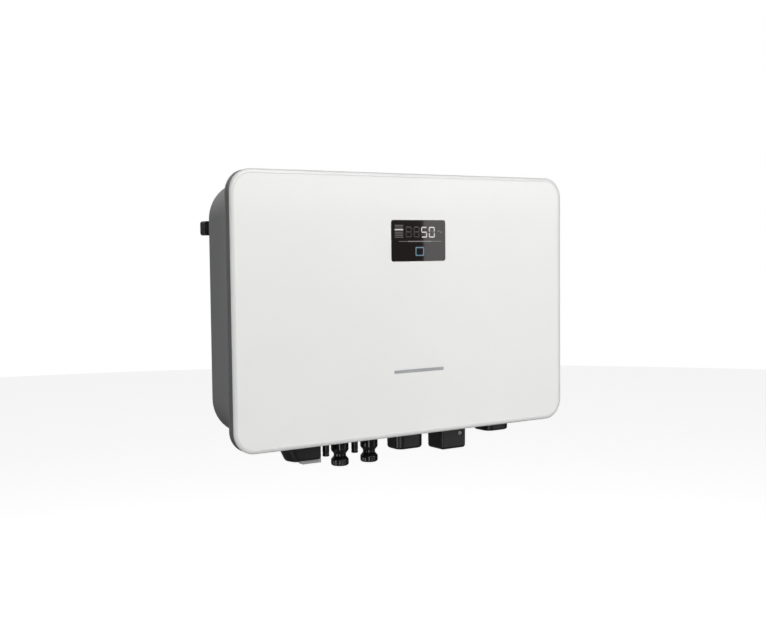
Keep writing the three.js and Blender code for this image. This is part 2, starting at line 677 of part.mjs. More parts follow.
function switchGuard() {
  const options = {
    depth: UNDER_TOP - GUARD.bottom - 2 * GUARD.edge,
    steps: 2,
    bevelThickness: GUARD.edge,
    bevelSize: GUARD.edge,
    bevelSegments: 2,
    curveSegments: 5,
  };
  const shell = new THREE.ExtrudeGeometry(guardOutline(), options);
  shell.translate(0, SWITCH.y, GUARD.bottom + GUARD.edge);
  const position = shell.attributes.position;
  for (let i = 0; i < position.count; i += 1) {
    const x = position.getX(i);
    if (x < (GUARD.left + GUARD.right) / 2) {
      position.setX(i, x + guardShift(position.getZ(i)));
    }
  }
  const shaftHole = cylinderZ(SHAFT_HOLE_R, GUARD.bottom - 1, UNDER_TOP + 1, SWITCH.x, SWITCH.y, 14);
  const discTop = GUARD.bottom + KNOB.height + GAP;
  const discPocket = cylinderZ(KNOB.radius + GAP, GUARD.bottom - 1, discTop, SWITCH.x, SWITCH.y, 24);
  add("switch_guard", cut(shell, shaftHole, discPocket), BLACK_PLASTIC);
}

function dcSwitch() {
  const { x, y } = SWITCH;
  const body = box(
    [x - SWITCH_BODY.width / 2, y - SWITCH_BODY.depth / 2, TUB_UNDERSIDE + 5],
    [x + SWITCH_BODY.width / 2, y + SWITCH_BODY.depth / 2, SWITCH_BODY.top],
  );
  const socket = cylinderZ(SHAFT_HOLE_R, TUB_UNDERSIDE, SWITCH_BODY.shaftTop, x, y, 14);
  add("dc_switch_body", cut(body, socket), SWITCH_RED);
  switchGuard();

  const discTop = GUARD.bottom + KNOB.height;
  add("switch_shaft", cylinderZ(SHAFT_R, discTop - KNOB.height, SWITCH_BODY.shaftTop - GAP, x, y, 14), STEEL);

  const leverTop = GUARD.bottom - GAP;
  const disc = cylinderZ(KNOB.radius, leverTop - 0.5, discTop, x, y, 24);
  const outline = [
    [LEVER.left, leverTop],
    [LEVER.lowLeft, LEVER.bottom],
    [LEVER.right, LEVER.bottom],
    [LEVER.right, leverTop],
  ];
  const lever = upright(polygon(outline), y - LEVER.halfDepth, y + LEVER.halfDepth);
  const bore = cylinderZ(SHAFT_HOLE_R, discTop - KNOB.height - GAP, discTop + 1, x, y, 14);
  add("switch_knob", cut(join(disc, lever), bore), GREY_PLASTIC);
}

// ---------- inside the housing ----------

function ring(outerR, innerR, height, x, z) {
  const y0 = PART_BACK - height;
  const profile = [
    new THREE.Vector2(innerR, 0),
    new THREE.Vector2(outerR, 0),
    new THREE.Vector2(outerR, height),
    new THREE.Vector2(innerR, height),
    new THREE.Vector2(innerR, 0),
  ];
  return new THREE.LatheGeometry(profile, 20).translate(x, y0, z);
}

function block(x, z, width, height, depth) {
  return box([x - width / 2, PART_BACK - depth, z - height / 2], [x + width / 2, PART_BACK, z + height / 2]);
}

function powerStage() {
  const board = box([-BOARD_HALF_W, BOARD_FACE, BOARD_BOTTOM], [BOARD_HALF_W, BOARD_BACK, BOARD_TOP]);
  add("power_board", board, BOARD_GREEN);

  const behindBoard = BOARD_BACK + GAP;
  const tubFloor = TUB_BACK - TUB_FLOOR - GAP;
  STANDOFF_AT.forEach(([x, z], i) => {
    add(`board_standoff_${i + 1}`, cylinderY(STANDOFF_R, behindBoard, tubFloor, x, z, 6), BRASS);
  });

  const { left, right, bottom, top, pad } = MODULE;
  add("thermal_pad", box([left, tubFloor - pad, bottom], [right, tubFloor, top]), THERMAL_GREY);
  add("power_module", box([left, behindBoard, bottom], [right, tubFloor - pad - GAP, top]), MODULE_GREY);

  CAPACITORS.x.forEach((x, i) => {
    const can = cylinderY(CAPACITORS.radius, PART_BACK - CAPACITORS.length, PART_BACK, x, CAPACITORS.z, 16);
    add(`bus_capacitor_${i + 1}`, can, SLEEVE_BLUE);
  });
  for (const [name, [finish, ...sizes]] of Object.entries(WOUND)) {
    add(name, ring(...sizes), finish);
  }
  for (const [name, [finish, ...sizes]] of Object.entries(BOXED)) {
    add(name, block(...sizes), finish);
  }
}

function controlBoards() {
  const boardBack = CONTROL_BOARD.front + BOARD_THICK;
  const header = box(
    [-HEADER.halfWidth, boardBack + GAP, HEADER.bottom],
    [HEADER.halfWidth, PART_BACK, HEADER.top],
  );
  add("board_header", header, HEADER_BLACK);
  const board = box(
    [-CONTROL_BOARD.halfWidth, CONTROL_BOARD.front, CONTROL_BOARD.bottom],
    [CONTROL_BOARD.halfWidth, boardBack, CONTROL_BOARD.top],
  );
  add("control_board", board, BOARD_GREEN);
}

// ---------- assembly ----------

wallRail();
railEndCap("rail_end_cap_left", -1);
railEndCap("rail_end_cap_right", 1);
heatSink();
hangerHook("hanger_hook_left", -HOOK_X);
hangerHook("hanger_hook_right", HOOK_X);
hookScrew("hook_screw_left", -HOOK_X);
hookScrew("hook_screw_right", HOOK_X);
rearHousing();
coverPan();
coverGasket();
frontCover();
COVER_SCREWS.forEach((place, i) => coverScrew(`cover_screw_${i + 1}`, place));
display();
acCover();
commsCover();
accessoryPort();
ventAndGround();
SLIM.x.forEach((x, i) => slimPort(`slim_solar_port_${i + 1}`, x));
THICK.x.forEach((x, i) => thickPort(`thick_solar_port_${i + 1}`, x));
THICK.x.forEach((x, i) => dustCap(`dust_cap_${i + 1}`, x));
dcSwitch();
powerStage();
controlBoards();

export default object;
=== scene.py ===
import json
import math

import bmesh
import bpy
from mathutils import Matrix, Vector


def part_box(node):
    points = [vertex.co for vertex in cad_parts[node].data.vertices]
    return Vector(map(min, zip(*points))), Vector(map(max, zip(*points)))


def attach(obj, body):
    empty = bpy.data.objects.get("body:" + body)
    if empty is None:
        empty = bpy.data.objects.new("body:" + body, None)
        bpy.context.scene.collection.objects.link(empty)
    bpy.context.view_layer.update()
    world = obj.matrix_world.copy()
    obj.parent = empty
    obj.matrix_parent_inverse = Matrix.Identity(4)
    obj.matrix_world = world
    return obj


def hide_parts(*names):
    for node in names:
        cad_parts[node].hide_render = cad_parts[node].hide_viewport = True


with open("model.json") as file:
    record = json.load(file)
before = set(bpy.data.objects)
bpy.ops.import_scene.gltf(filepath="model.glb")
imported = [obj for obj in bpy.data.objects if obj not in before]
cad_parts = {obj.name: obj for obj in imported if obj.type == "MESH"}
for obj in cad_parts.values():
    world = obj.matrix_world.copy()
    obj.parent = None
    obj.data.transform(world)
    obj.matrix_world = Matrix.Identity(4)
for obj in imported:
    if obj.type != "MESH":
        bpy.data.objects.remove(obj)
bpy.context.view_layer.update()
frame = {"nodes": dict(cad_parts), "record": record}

MM = 0.001
INVERTER = "inverter"
scene = bpy.context.scene


# ---------- camera, light and floor ----------

CAMERA_AT = Vector((-0.6570, -1.0899, -0.0243))
CAMERA_YAW = 33.435
CAMERA_PITCH = -3.42
CAMERA_ROLL = -0.62
CAMERA_LENS = 52.28
CAMERA_SENSOR = 36.0
PANEL_MIDDLE = Vector((0.0, -0.15, -0.082))


def make_camera():
    data = bpy.data.cameras.new("camera")
    data.lens = CAMERA_LENS
    data.sensor_width = CAMERA_SENSOR
    data.clip_end = 30.0
    camera = bpy.data.objects.new("camera", data)
    scene.collection.objects.link(camera)
    turn = (
        Matrix.Rotation(math.radians(-CAMERA_YAW), 4, "Z")
        @ Matrix.Rotation(math.radians(90 + CAMERA_PITCH), 4, "X")
        @ Matrix.Rotation(math.radians(CAMERA_ROLL), 4, "Z")
    )
    camera.matrix_world = Matrix.Translation(CAMERA_AT) @ turn
    scene.camera = camera


def softbox(name, at, aim, width, height, radiance):
    """A rectangular light. Its power gives the same radiance at any size."""
    data = bpy.data.lights.new(name, "AREA")
    data.shape = "RECTANGLE"
    data.size = width
    data.size_y = height
    data.energy = radiance * width * height * math.pi
    light = bpy.data.objects.new(name, data)
    scene.collection.objects.link(light)
    light.location = at
    light.rotation_euler = (Vector(aim) - Vector(at)).to_track_quat("-Z", "Y").to_euler()


# Name, place, aim, width, height and radiance of each softbox.
SOFTBOXES = (
    ("key_right", (1.5, -2.6, 0.9), PANEL_MIDDLE, 1.6, 1.6, 3.2),
    ("front_right", (0.6, -2.3, 1.0), PANEL_MIDDLE, 1.2, 1.2, 5.0),
    ("strip_camera", (-0.98, -1.62, -0.55), (-0.03, -0.09, -0.23), 0.16, 1.3, 9.0),
    ("strip_left", (-1.594, -0.225, -0.45), (-0.05, -0.09, -0.23), 0.16, 1.3, 10.0),
    ("strip_right", (0.993, -1.236, 0.1), (0.1, -0.15, -0.05), 0.33, 2.2, 1.12),
    ("top_left_back", (-1.3, 0.9, 1.5), PANEL_MIDDLE, 0.9, 0.9, 16.0),
)

# Direction and strength of each soft lobe of the surroundings.
WORLD_LOBES = (
    ((0, 1, 0), 0.12),
    ((0, -1, 0), 0.10),
    ((0, 0, 1), 0.55),
    ((0, 0, -1), 0.15),
)


def math_node(tree, operation, first, second):
    """The output of a Math node. Each value is a socket or a plain number."""
    node = tree.nodes.new("ShaderNodeMath")
    node.operation = operation
    for place, value in zip(node.inputs, (first, second)):
        if isinstance(value, bpy.types.NodeSocket):
            tree.links.new(value, place)
        else:
            place.default_value = value
    return node.outputs[0]


def make_world():
    """White for the camera. For everything else, soft lobes of grey round the object."""
    world = bpy.data.worlds.new("studio")
    world.use_nodes = True
    tree = world.node_tree
    nodes = tree.nodes
    links = tree.links
    nodes.clear()
    coords = nodes.new("ShaderNodeTexCoord")
    total = None
    for direction, strength in WORLD_LOBES:
        toward = nodes.new("ShaderNodeVectorMath")
        toward.operation = "DOT_PRODUCT"
        toward.inputs[1].default_value = direction
        links.new(coords.outputs["Generated"], toward.inputs[0])
        facing = math_node(tree, "MAXIMUM", toward.outputs["Value"], 0.0)
        lobe = math_node(tree, "MULTIPLY", facing, strength)
        total = lobe if total is None else math_node(tree, "ADD", total, lobe)
    path = nodes.new("ShaderNodeLightPath")
    shade = nodes.new("ShaderNodeMix")
    background = nodes.new("ShaderNodeBackground")
    background.inputs["Color"].default_value = (1, 1, 1, 1)
    output = nodes.new("ShaderNodeOutputWorld")
    links.new(path.outputs["Is Camera Ray"], shade.inputs["Factor"])
    links.new(total, shade.inputs["A"])
    shade.inputs["B"].default_value = 1.0
    links.new(shade.outputs["Result"], background.inputs["Strength"])
    links.new(background.outputs[0], output.inputs["Surface"])
    scene.world = world
    scene.view_settings.view_transform = "Standard"


FLOOR_RADIUS = 9.0
FLOOR_Z = -1.1
FLOOR_GREY = 0.9
FLOOR_GLOW = 0.53


def make_floor():
    """A wide pale disc, well below the hung inverter."""
    bm = bmesh.new()
    bmesh.ops.create_circle(bm, cap_ends=True, segments=96, radius=FLOOR_RADIUS)
    mesh = bpy.data.meshes.new("floor")
    bm.to_mesh(mesh)
    bm.free()
    floor = bpy.data.objects.new("floor", mesh)
    floor.location = (0, 0, FLOOR_Z)
    scene.collection.objects.link(floor)
    material = bpy.data.materials.new("floor_paper")
    material.use_nodes = True
    shader = material.node_tree.nodes["Principled BSDF"]
    shader.inputs["Base Color"].default_value = (FLOOR_GREY, FLOOR_GREY, FLOOR_GREY, 1)
    shader.inputs["Roughness"].default_value = 0.9
    shader.inputs["Emission Color"].default_value = (1, 1, 1, 1)
    shader.inputs["Emission Strength"].default_value = FLOOR_GLOW
    mesh.materials.append(material)
    # The camera sees it and it takes shadows, but it throws no light up at the object.
    floor.visible_diffuse = False
    floor.visible_glossy = False


# ---------- materials ----------

DRIFT_SCALE = 14.0
FINE_SHARE = 0.45
NOISE_LOW = 0.3
NOISE_HIGH = 0.7
GLASS_IOR = 1.72


def tint(color, factor):
    return tuple(min(1.0, c * factor) for c in color) + (1.0,)


def noise(tree, vector, scale, detail, roughness=0.5):
    node = tree.nodes.new("ShaderNodeTexNoise")
    node.inputs["Scale"].default_value = scale
    node.inputs["Detail"].default_value = detail
    node.inputs["Roughness"].default_value = roughness
    tree.links.new(vector, node.inputs["Vector"])
    return node.outputs["Fac"]


def finish(name, color, roughness, metallic=0.0, grain=900.0, bump=0.15, spread=0.10,
           rough_spread=0.08, coat=0.0, depth=0.00003, streak=None, ior=1.5):
    """A surface with a fine grain, slow colour drift and uneven roughness.

    grain is the fine noise's scale per metre, depth the bump's height in metres, spread the share
    of colour drift, and streak an optional (x, y, z) stretch that draws the grain out into lines.
    """
    material = bpy.data.materials.new(name)
    material.use_nodes = True
    nodes = material.node_tree.nodes
    links = material.node_tree.links
    shader = nodes["Principled BSDF"]
    shader.inputs["Metallic"].default_value = metallic
    shader.inputs["Coat Weight"].default_value = coat
    shader.inputs["IOR"].default_value = ior

    coords = nodes.new("ShaderNodeTexCoord")
    place = nodes.new("ShaderNodeMapping")
    place.inputs["Scale"].default_value = streak or (1, 1, 1)
    links.new(coords.outputs["Object"], place.inputs["Vector"])

    drift = noise(material.node_tree, coords.outputs["Object"], DRIFT_SCALE, 4.0)
    fine = noise(material.node_tree, place.outputs["Vector"], grain, 5.0, 0.6)
    both = nodes.new("ShaderNodeMix")
    both.inputs["Factor"].default_value = FINE_SHARE
    links.new(drift, both.inputs["A"])
    links.new(fine, both.inputs["B"])

    ramp = nodes.new("ShaderNodeValToRGB")
    darker, lighter = ramp.color_ramp.elements
    darker.position = NOISE_LOW
    darker.color = tint(color, 1 - spread)
    lighter.position = NOISE_HIGH
    lighter.color = tint(color, 1 + spread)
    links.new(both.outputs["Result"], ramp.inputs["Fac"])
    links.new(ramp.outputs["Color"], shader.inputs["Base Color"])

    rough = nodes.new("ShaderNodeMapRange")
    rough.inputs["From Min"].default_value = NOISE_LOW
    rough.inputs["From Max"].default_value = NOISE_HIGH
    rough.inputs["To Min"].default_value = max(0.02, roughness - rough_spread)
    rough.inputs["To Max"].default_value = min(1.0, roughness + rough_spread)
    links.new(both.outputs["Result"], rough.inputs["Value"])
    links.new(rough.outputs["Result"], shader.inputs["Roughness"])

    bumps = nodes.new("ShaderNodeBump")
    bumps.inputs["Strength"].default_value = bump
    bumps.inputs["Distance"].default_value = depth
    links.new(fine, bumps.inputs["Height"])
    links.new(bumps.outputs["Normal"], shader.inputs["Normal"])
    return material


def paint_shade_by_depth(material, color, start, stop):
    """Paints shade into a finish: turns its colour into the given shade colour between two depths
    from front to back.
    """
    nodes = material.node_tree.nodes
    links = material.node_tree.links
    target = nodes["Principled BSDF"].inputs["Base Color"]
    before = target.links[0].from_socket
    coords = nodes.new("ShaderNodeTexCoord")
    split = nodes.new("ShaderNodeSeparateXYZ")
    links.new(coords.outputs["Object"], split.inputs[0])
    depth = nodes.new("ShaderNodeMapRange")
    depth.inputs["From Min"].default_value = start
    depth.inputs["From Max"].default_value = stop
    links.new(split.outputs["Y"], depth.inputs["Value"])
    painted_shade_mix = nodes.new("ShaderNodeMix")
    painted_shade_mix.data_type = "RGBA"
    # The node has an A, a B and a Result for each data type, so they are found by identifier.
    sockets = {socket.identifier: socket for socket in (*painted_shade_mix.inputs, *painted_shade_mix.outputs)}
    links.new(depth.outputs["Result"], sockets["Factor_Float"])
    links.new(before, sockets["A_Color"])
    sockets["B_Color"].default_value = color + (1.0,)
    links.new(sockets["Result_Color"], target)


def glow(name, color, strength):
    """A lit mark in the display window, on a surface nearly as dark and smooth as the glass."""
    material = finish(name, (0.012, 0.01, 0.009), 0.06, grain=1500, bump=0.01, rough_spread=0.02,
                      ior=GLASS_IOR)
    shader = material.node_tree.nodes["Principled BSDF"]
    shader.inputs["Emission Color"].default_value = color + (1.0,)
    shader.inputs["Emission Strength"].default_value = strength
    return material


WHITE_COAT = finish("white_coat", (0.86, 0.86, 0.85), 0.33, grain=1400, bump=0.10, spread=0.012,
                    rough_spread=0.04, coat=0.15)
# Painted shade: the cover's edge band gets a greyer white than the face, for the shade on its
# rounded edge.
RIM_PAINTED_SHADE = finish("rim_painted_shade", (0.76, 0.76, 0.75), 0.30, grain=1400, bump=0.08, spread=0.012,
                  rough_spread=0.04, coat=0.15)
DARK_COAT = finish("dark_coat", (0.075, 0.076, 0.078), 0.42, grain=1800, bump=0.25, spread=0.08)
CAST_GREY = finish("cast_grey", (0.115, 0.116, 0.118), 0.48, metallic=0.2, grain=1300, bump=0.35,
                   spread=0.07, depth=0.00005)
ALUMINIUM = finish("bare_aluminium", (0.60, 0.61, 0.62), 0.42, metallic=1.0, grain=700, bump=0.2,
                   spread=0.06, streak=(1, 1, 0.04))
BLACK_STEEL = finish("black_steel", (0.022, 0.022, 0.024), 0.40, metallic=0.2, grain=1600, bump=0.3)
BLACK_PLASTIC = finish("black_plastic", (0.008, 0.008, 0.009), 0.34, grain=1500, bump=0.2,
                       spread=0.2)
GLOSS_BLACK = finish("gloss_black", (0.008, 0.008, 0.009), 0.13, grain=1500, bump=0.03, spread=0.2,
                     rough_spread=0.03)
SATIN_BLACK = finish("satin_black", (0.009, 0.009, 0.010), 0.27, grain=1500, bump=0.10, spread=0.2,
                     rough_spread=0.04)
GREY_PLASTIC = finish("grey_plastic", (0.46, 0.47, 0.46), 0.40, grain=1500, bump=0.25, spread=0.05)
SMOKED_GLASS = finish("smoked_glass", (0.012, 0.0085, 0.0075), 0.03, grain=300, bump=0.0,
                      spread=0.15, rough_spread=0.01, ior=GLASS_IOR)
BADGE_GREY = finish("badge_grey", (0.40, 0.41, 0.42), 0.35, metallic=0.3, grain=1200, bump=0.1,
                    streak=(0.05, 1, 1))
ZINC = finish("zinc", (0.62, 0.62, 0.62), 0.5, metallic=0.55, grain=900, bump=0.2, spread=0.08)
STEEL = finish("steel", (0.56, 0.57, 0.58), 0.30, metallic=1.0, grain=900, bump=0.2, spread=0.08)
FOAM = finish("foam_rubber", (0.02, 0.02, 0.02), 0.9, grain=2600, bump=0.8, depth=0.0001)
THERMAL = finish("thermal_rubber", (0.30, 0.34, 0.38), 0.8, grain=1800, bump=0.4)
BOARD_GREEN = finish("board_green", (0.012, 0.09, 0.04), 0.45, grain=500, bump=0.2, spread=0.25)
COPPER = finish("copper", (0.50, 0.20, 0.09), 0.30, metallic=0.9, grain=600, bump=0.5, spread=0.2)
BRASS = finish("brass", (0.60, 0.45, 0.18), 0.30, metallic=1.0, grain=900, bump=0.2)
FERRITE = finish("ferrite", (0.04, 0.045, 0.05), 0.75, grain=1200, bump=0.4)
SLEEVE = finish("capacitor_sleeve", (0.02, 0.04, 0.09), 0.25, grain=800, bump=0.1)
RELAY_CASE = finish("relay_case", (0.70, 0.70, 0.67), 0.35, grain=1300, bump=0.2, spread=0.04)
SWITCH_RED = finish("switch_red", (0.25, 0.04, 0.02), 0.45, grain=1300, bump=0.3)
LIT_WHITE = glow("lit_white", (1.0, 0.97, 0.95), 0.58)
DIM_MARK = glow("dim_mark", (1.0, 0.95, 0.93), 0.014)
SOFT_MARK = glow("soft_mark", (1.0, 0.95, 0.93), 0.09)
RULE_MARK = glow("rule_mark", (1.0, 0.95, 0.93), 0.19)
LIT_BLUE = glow("lit_blue", (0.35, 0.68, 0.95), 0.33)

SLOT_FINISH = {
    "white_coat": WHITE_COAT,
    "dark_coat": DARK_COAT,
    "cast_grey": CAST_GREY,
    "bare_aluminium": ALUMINIUM,
    "black_steel": BLACK_STEEL,
    "black_plastic": BLACK_PLASTIC,
    "grey_plastic": GREY_PLASTIC,
    "smoked_glass": SMOKED_GLASS,
    "badge_grey": BADGE_GREY,
    "steel": STEEL,
    "foam_rubber": FOAM,
    "thermal_rubber": THERMAL,
    "board_green": BOARD_GREEN,
    "copper": COPPER,
    "brass": BRASS,
    "ferrite": FERRITE,
    "capacitor_sleeve": SLEEVE,
    "relay_case": RELAY_CASE,
    "switch_red": SWITCH_RED,
}


# ---------- mesh helpers ----------

def body_of(node):
    for body, members in frame["record"]["behaviour"]["bodies"].items():
        if node in members:
            return body
    raise ValueError(node)


def slot_of(node):
    for entry in frame["record"]["subparts"]:
        if entry["node"] == node:
            return entry["material_slot"]
    raise ValueError(node)


def middle(node):
    low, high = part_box(node)
    return (low + high) / 2


def front_of(low, high):
    """The middle, half width and half height of a box seen from the front."""
    return ((low.x + high.x) / 2, (low.z + high.z) / 2), (high.x - low.x) / 2, (high.z - low.z) / 2


def quarter_turn(steps):
    """Angles from 0 to a quarter turn in equal steps."""
    return [math.pi / 2 * i / steps for i in range(steps + 1)]


SAME_PLACE = 1e-7
NORMAL_WEIGHT = 80


def piece(name, bm, material, replaces=(), body=None, slot=None, bevel=0.0, segments=3, angle=32):
    """Turns a bmesh into an object that rides on its body, with softened edges."""
    bmesh.ops.remove_doubles(bm, verts=bm.verts, dist=SAME_PLACE)
    bmesh.ops.recalc_face_normals(bm, faces=bm.faces)
    mesh = bpy.data.meshes.new(name)
    bm.to_mesh(mesh)
    bm.free()
    obj = bpy.data.objects.new(name, mesh)
    scene.collection.objects.link(obj)
    mesh.materials.append(material)
    for polygon in mesh.polygons:
        polygon.use_smooth = True
    if bevel:
        soft = obj.modifiers.new("soft_edges", "BEVEL")
        soft.width = bevel
        soft.segments = segments
        soft.limit_method = "ANGLE"
        soft.angle_limit = math.radians(angle)
        soft.use_clamp_overlap = True
    level = obj.modifiers.new("level_normals", "WEIGHTED_NORMAL")
    level.weight = NORMAL_WEIGHT
    level.keep_sharp = False
    first = replaces[0] if replaces else None
    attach(obj, body or body_of(first))
    if replaces:
        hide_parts(*replaces)
    return obj


def carve(bm, cutters):
    """Cuts the cutters out and returns the new bmesh."""
    base = bpy.data.meshes.new("base")
    bmesh.ops.recalc_face_normals(bm, faces=bm.faces)
    bm.to_mesh(base)
    bm.free()
    obj = bpy.data.objects.new("base", base)
    scene.collection.objects.link(obj)
    tools = []
    for cutter in cutters:
        bmesh.ops.recalc_face_normals(cutter, faces=cutter.faces)
        mesh = bpy.data.meshes.new("tool")
        cutter.to_mesh(mesh)
        cutter.free()
        tool = bpy.data.objects.new("tool", mesh)
        scene.collection.objects.link(tool)
        tools.append(tool)
        step = obj.modifiers.new("cut", "BOOLEAN")
        step.operation = "DIFFERENCE"
        step.solver = "EXACT"
        step.object = tool
    bpy.context.view_layer.update()
    shaped = obj.evaluated_get(bpy.context.evaluated_depsgraph_get()).to_mesh()
    result = bmesh.new()
    result.from_mesh(shaped)
    for used in [obj, *tools]:
        mesh = used.data
        bpy.data.objects.remove(used)
        bpy.data.meshes.remove(mesh)
    return result


def ring(half_w, half_h, radius, y, mid=(0.0, 0.0), steps=12):
    """A rounded rectangle seen from the front, standing at depth y."""
    points = []
    for corner, (sx, sz) in enumerate(((1, 1), (-1, 1), (-1, -1), (1, -1))):
        for i in range(steps + 1):
            a = math.pi / 2 * (corner + i / steps)
            x = mid[0] + sx * (half_w - radius) + radius * math.cos(a)
            z = mid[1] + sz * (half_h - radius) + radius * math.sin(a)
            points.append(Vector((x, y, z)))
    return points


def flat_ring(half_w, half_d, radius, z, mid, steps=8):
    """A rounded rectangle seen from above, lying at height z."""
    return [Vector((p.x, p.z, z)) for p in ring(half_w, half_d, radius, 0.0, mid, steps)]


def loft(rings, bm=None, closed=False):
    """Joins rings of points into a tube, capped at both ends, or closed on itself."""
    bm = bm or bmesh.new()
    rows = [[bm.verts.new(p) for p in points] for points in rings]
    pairs = list(zip(rows, rows[1:]))
    if closed:
        pairs.append((rows[-1], rows[0]))
    for a, b in pairs:
        for i in range(len(a)):
            j = (i + 1) % len(a)
            bm.faces.new((a[i], a[j], b[j], b[i]))
    if not closed:
        bm.faces.new(list(reversed(rows[0])))
        bm.faces.new(rows[-1])
    return bm


def slab(low, high, bm=None):
    """A plain box between two corners."""
    bm = bm or bmesh.new()
    size = Vector(high) - Vector(low)
    centre = (Vector(high) + Vector(low)) / 2
    matrix = Matrix.Translation(centre) @ Matrix.Diagonal((size.x, size.y, size.z, 1))
    bmesh.ops.create_cube(bm, size=1, matrix=matrix)
    return bm


def turned(profile, at, axis="Z", steps=40, wave=None, bm=None):
    """Turns (radius, along) points about an axis through at, from one end to the other.

    wave(radius, along, angle) may reshape the radius, for grooves.
    """
    rings = []
    for radius, along in profile:
        points = []
        for i in range(steps):
            a = 2 * math.pi * i / steps
            r = wave(radius, along, a) if wave else radius
            u = r * math.cos(a)
            v = r * math.sin(a)
            offset = {"Z": (u, v, along), "Y": (u, along, v)}[axis]
            points.append(Vector(at) + Vector(offset))
        rings.append(points)
    return loft(rings, bm)


def dress_cad_nodes():
    """Gives every CAD node the finish of its slot."""
    for name, obj in frame["nodes"].items():
        obj.data.materials.clear()
        obj.data.materials.append(SLOT_FINISH[slot_of(name)])


# ---------- front cover, frame and display ----------

CORNER_R = 22 * MM
GAP = 0.3 * MM
WINDOW_R = 2.5 * MM
BEVEL = 4.2 * MM
BEVEL_DEPTH = 1.1 * MM
RIM_UNDER = 0.04 * MM
# The painted shade's darkest colour, at the rim's outer edge.
RIM_DEEPEST_PAINTED_SHADE = (0.55, 0.56, 0.55)
CUT_CLEAR = 2 * MM


def edge_profile(front, shrink=0.0):
    """(inset, y) pairs from the cover's rim round its soft edge to the flat front."""
    pairs = []
    for a in quarter_turn(10):
        inset = BEVEL * (1 - math.cos(a))
        y = front + BEVEL_DEPTH * (1 - math.sin(a))
        pairs.append((inset + shrink, y + shrink))
    return pairs


def cover_ring(low, high, inset, y):
    mid, half_w, half_h = front_of(low, high)
    return ring(half_w - inset, half_h - inset, CORNER_R - inset, y, mid, 20)


def make_cover():
    """The white panel, cut out for the window and the bar, and its rim over the edge, greyed with
    painted shade.
    """
    node = "front_cover"
    low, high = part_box(node)
    b_low, b_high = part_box("badge_bar")
    w_mid, half_w, half_h = front_of(*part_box("display_window"))
    half_w += GAP
    half_h += GAP
    front = low.y - CUT_CLEAR
    window = loft([
        ring(half_w, half_h, WINDOW_R + GAP, high.y + CUT_CLEAR, w_mid),
        ring(half_w, half_h, WINDOW_R + GAP, front, w_mid),
    ])
    seat_high = (b_high.x + GAP, b_high.y + GAP, b_high.z + GAP)
    seat = slab((b_low.x - GAP, front, b_low.z - GAP), seat_high)
    rings = [
        cover_ring(low, high, 0.5 * MM, high.y),
        cover_ring(low, high, RIM_UNDER, high.y - 0.3 * MM),
    ]
    rings += [cover_ring(low, high, inset, y) for inset, y in edge_profile(low.y, RIM_UNDER)]
    rings[-1] = [Vector((p.x, low.y, p.z)) for p in rings[-1]]
    bm = carve(loft(rings), [window, seat])
    piece("front_cover_skin", bm, WHITE_COAT, (node,), bevel=0.12 * MM, segments=2, angle=50)

    rim = [cover_ring(low, high, inset, y) for inset, y in edge_profile(low.y)]
    foot_y = high.y - 0.1 * MM
    rim += [
        cover_ring(low, high, BEVEL, low.y + 0.5 * MM),
        cover_ring(low, high, 1 * MM, foot_y),
        cover_ring(low, high, 0, foot_y),
    ]
    # Painted shade on the rim: darker towards its outer edge, further back from the face.
    paint_shade_by_depth(RIM_PAINTED_SHADE, RIM_DEEPEST_PAINTED_SHADE, low.y, low.y + 0.5 * BEVEL_DEPTH)
    piece("cover_rim_painted_shade", loft(rim, closed=True), RIM_PAINTED_SHADE, body=INVERTER, slot="white_coat")


PAN_WALL = 2 * MM
PAN_ROLL = 0.8 * MM
PAN_LEDGE = 4 * MM
POST_R = 2.5 * MM


def make_cover_frame():
    """The dark pan behind the cover: a plate with a skirt, rolled in at its rear edge."""
    low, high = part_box("cover_pan")
    skirt_back = high.y
    plate_back = low.y + PAN_WALL

    def at(inset, y):
        return cover_ring(low, high, inset, y)

    rings = [
        at(0.4 * MM, low.y),
        at(0.1 * MM, low.y + 0.1 * MM),
        at(0, low.y + 0.4 * MM),
        at(0, skirt_back - PAN_ROLL),
        at(0.25 * MM, skirt_back - 0.25 * MM),
        at(PAN_ROLL, skirt_back),
        at(1.3 * MM, skirt_back),
        at(1.8 * MM, skirt_back - 0.25 * MM),
        at(PAN_WALL, skirt_back - PAN_ROLL),
        at(PAN_WALL, plate_back + PAN_ROLL),
        at(PAN_WALL + PAN_ROLL, plate_back),
    ]
    w_low, w_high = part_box("display_window")
    hole_low = (w_low.x + PAN_LEDGE, low.y - PAN_WALL, w_low.z + PAN_LEDGE)
    hole_high = (w_high.x - PAN_LEDGE, high.y, w_high.z - PAN_LEDGE)
    bm = carve(loft(rings), [slab(hole_low, hole_high)])
    post_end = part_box("display_board")[0].y - GAP
    post = [
        (POST_R, plate_back - 0.1 * MM),
        (POST_R, post_end - 0.4 * MM),
        (POST_R - 0.4 * MM, post_end),
    ]
    for x in (w_low.x - 3 * MM, w_high.x + 3 * MM):
        for z in (w_low.z - 2 * MM, w_high.z + 2 * MM):
            turned(post, (x, 0, z), "Y", 20, bm=bm)
    piece("cover_frame", bm, DARK_COAT, ("cover_pan",))


MARK_THICK = 0.04 * MM
DIGIT_WIDTH = 7.6 * MM
DIGIT_HEIGHT = 11.2 * MM
DIGIT_STROKE = 1.3 * MM
STROKE_GAP = 0.35 * DIGIT_STROKE
SEGMENTS = "abcdefg"
SEGMENTS_LIT = {"5": "acdfg", "0": "abcdef", "": ""}

# The display's layout, measured from the window's upper left corner.
DIGIT_STARTS = (17.6 * MM, 27.4 * MM, 37.2 * MM, 47.0 * MM)
DIGITS_SHOWN = ("", "", "5", "0")
DIGIT_FOOT = 17.9 * MM
LEVEL_LEFT = 4.3 * MM
LEVEL_RIGHT = 14.6 * MM
LEVEL_ROWS_MM = [5.6 + 1.75 * k for k in range(8) if k != 2]
LEVEL_LIT_ROW = 10.2 * MM
RULE_DROP = 22.2 * MM
RULE_THICK = 0.9 * MM
RULE_ENDS_THINNER = 0.15 * MM


